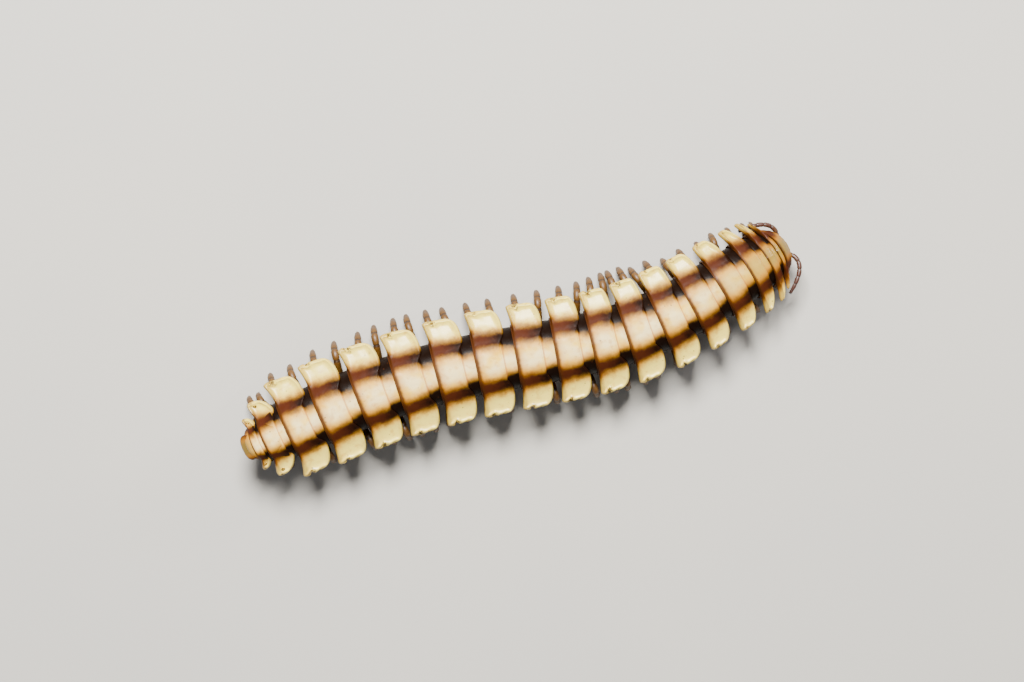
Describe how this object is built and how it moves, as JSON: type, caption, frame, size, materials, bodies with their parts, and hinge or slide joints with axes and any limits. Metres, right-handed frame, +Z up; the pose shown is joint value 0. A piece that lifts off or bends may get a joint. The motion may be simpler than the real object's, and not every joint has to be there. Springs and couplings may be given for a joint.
{
  "type": "python millipede",
  "caption": "Flat-backed millipede with a cream and tan ringed shell, dark lengthwise stripes and side keels, standing still on its feet with a gentle bend.",
  "frame": {"origin": "on the floor, under the middle of the bounding box", "axes": "+X towards the head along the whole body, +Y the animal's left side, +Z up from the floor"},
  "size_m": [0.0858, 0.022, 0.011],
  "materials": {
    "ring_shell": "waxy shell",
    "front_shell": "waxy shell",
    "head_shell": "glossy shell",
    "limb_skin": "satin skin"
  },
  "bodies": {
    "root": {"head": "head_shell", "antenna_left": "limb_skin", "antenna_right": "limb_skin", "collum": "front_shell", "ring_02": "front_shell", "ring_03": "front_shell", "ring_04": "front_shell", "ring_05": "ring_shell", "ring_06": "ring_shell", "ring_07": "ring_shell", "ring_08": "ring_shell", "ring_09": "ring_shell", "ring_10": "ring_shell", "ring_11": "ring_shell", "ring_12": "ring_shell", "ring_13": "ring_shell", "ring_14": "ring_shell", "ring_15": "ring_shell", "ring_16": "ring_shell", "ring_17": "ring_shell", "ring_18": "ring_shell", "ring_19": "ring_shell", "telson": "ring_shell", "legs_left_02": "limb_skin", "legs_right_02": "limb_skin", "legs_left_03": "limb_skin", "legs_right_03": "limb_skin", "legs_left_04": "limb_skin", "legs_right_04": "limb_skin", "legs_left_05": "limb_skin", "legs_right_05": "limb_skin", "legs_left_06": "limb_skin", "legs_right_06": "limb_skin", "legs_left_07": "limb_skin", "legs_right_07": "limb_skin", "legs_left_08": "limb_skin", "legs_right_08": "limb_skin", "legs_left_09": "limb_skin", "legs_right_09": "limb_skin", "legs_left_10": "limb_skin", "legs_right_10": "limb_skin", "legs_left_11": "limb_skin", "legs_right_11": "limb_skin", "legs_left_12": "limb_skin", "legs_right_12": "limb_skin", "legs_left_13": "limb_skin", "legs_right_13": "limb_skin", "legs_left_14": "limb_skin", "legs_right_14": "limb_skin", "legs_left_15": "limb_skin", "legs_right_15": "limb_skin", "legs_left_16": "limb_skin", "legs_right_16": "limb_skin", "legs_left_17": "limb_skin", "legs_right_17": "limb_skin", "legs_left_18": "limb_skin", "legs_right_18": "limb_skin"}
  },
  "joints": []
}
